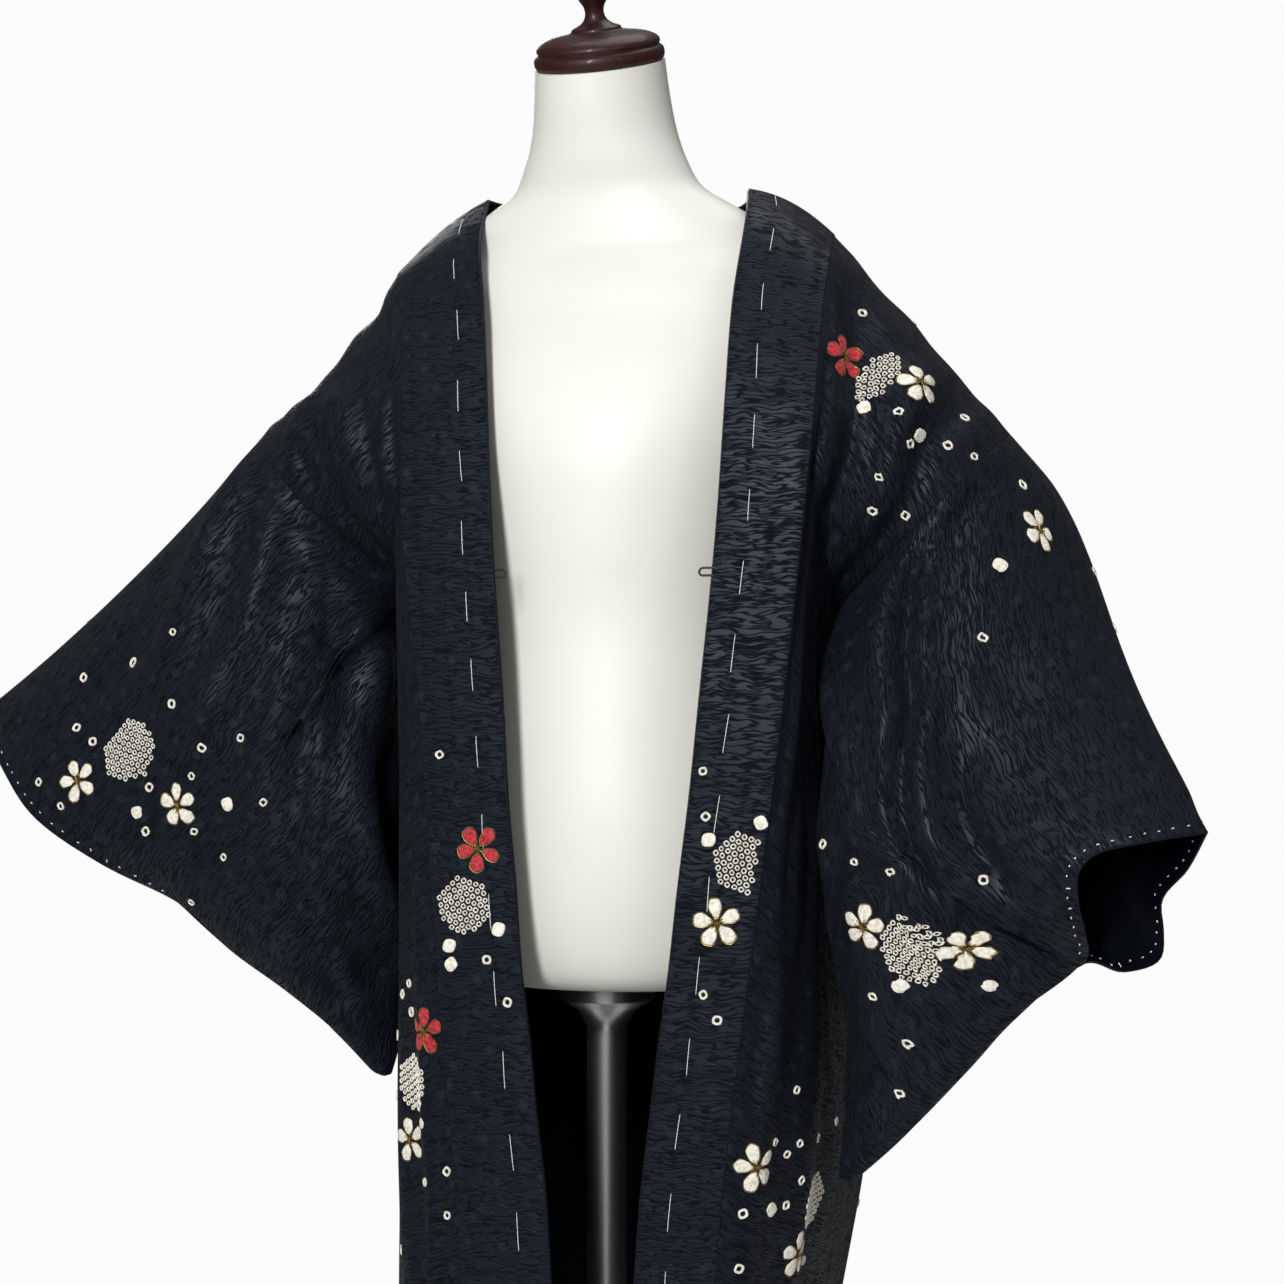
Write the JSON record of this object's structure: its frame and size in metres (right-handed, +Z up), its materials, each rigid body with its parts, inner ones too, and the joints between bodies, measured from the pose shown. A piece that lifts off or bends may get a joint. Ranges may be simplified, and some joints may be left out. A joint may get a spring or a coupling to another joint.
{
  "type": "haori jacket on dress form",
  "caption": "Open silk haori with a straight collar band, side gussets and hanging sleeves, draped over a limbless dress form with a turned neck cap, pole and round base.",
  "frame": {"origin": "middle of the round base's underside", "axes": "+Z up; -Y is the garment's front; +X is the wearer's left"},
  "size_m": [0.9285, 0.376, 1.4994],
  "materials": {
    "black_figured_silk": "figured satin silk, soft sheen",
    "white_coated_form": "smooth satin coating",
    "dark_red_brown_lacquered_wood": "turned and gloss lacquered",
    "satin_steel": "satin"
  },
  "bodies": {
    "root": {"eri_collar": "black_figured_silk", "migoro_panel_left": "black_figured_silk", "migoro_panel_right": "black_figured_silk", "machi_gusset_left": "black_figured_silk", "machi_gusset_right": "black_figured_silk", "sode_sleeve_left": "black_figured_silk", "sode_sleeve_right": "black_figured_silk", "chi_loop_left": "black_figured_silk", "chi_loop_right": "black_figured_silk", "form_torso": "white_coated_form", "neck_cap": "dark_red_brown_lacquered_wood", "stand_pole": "satin_steel", "stand_base": "dark_red_brown_lacquered_wood"}
  },
  "joints": []
}
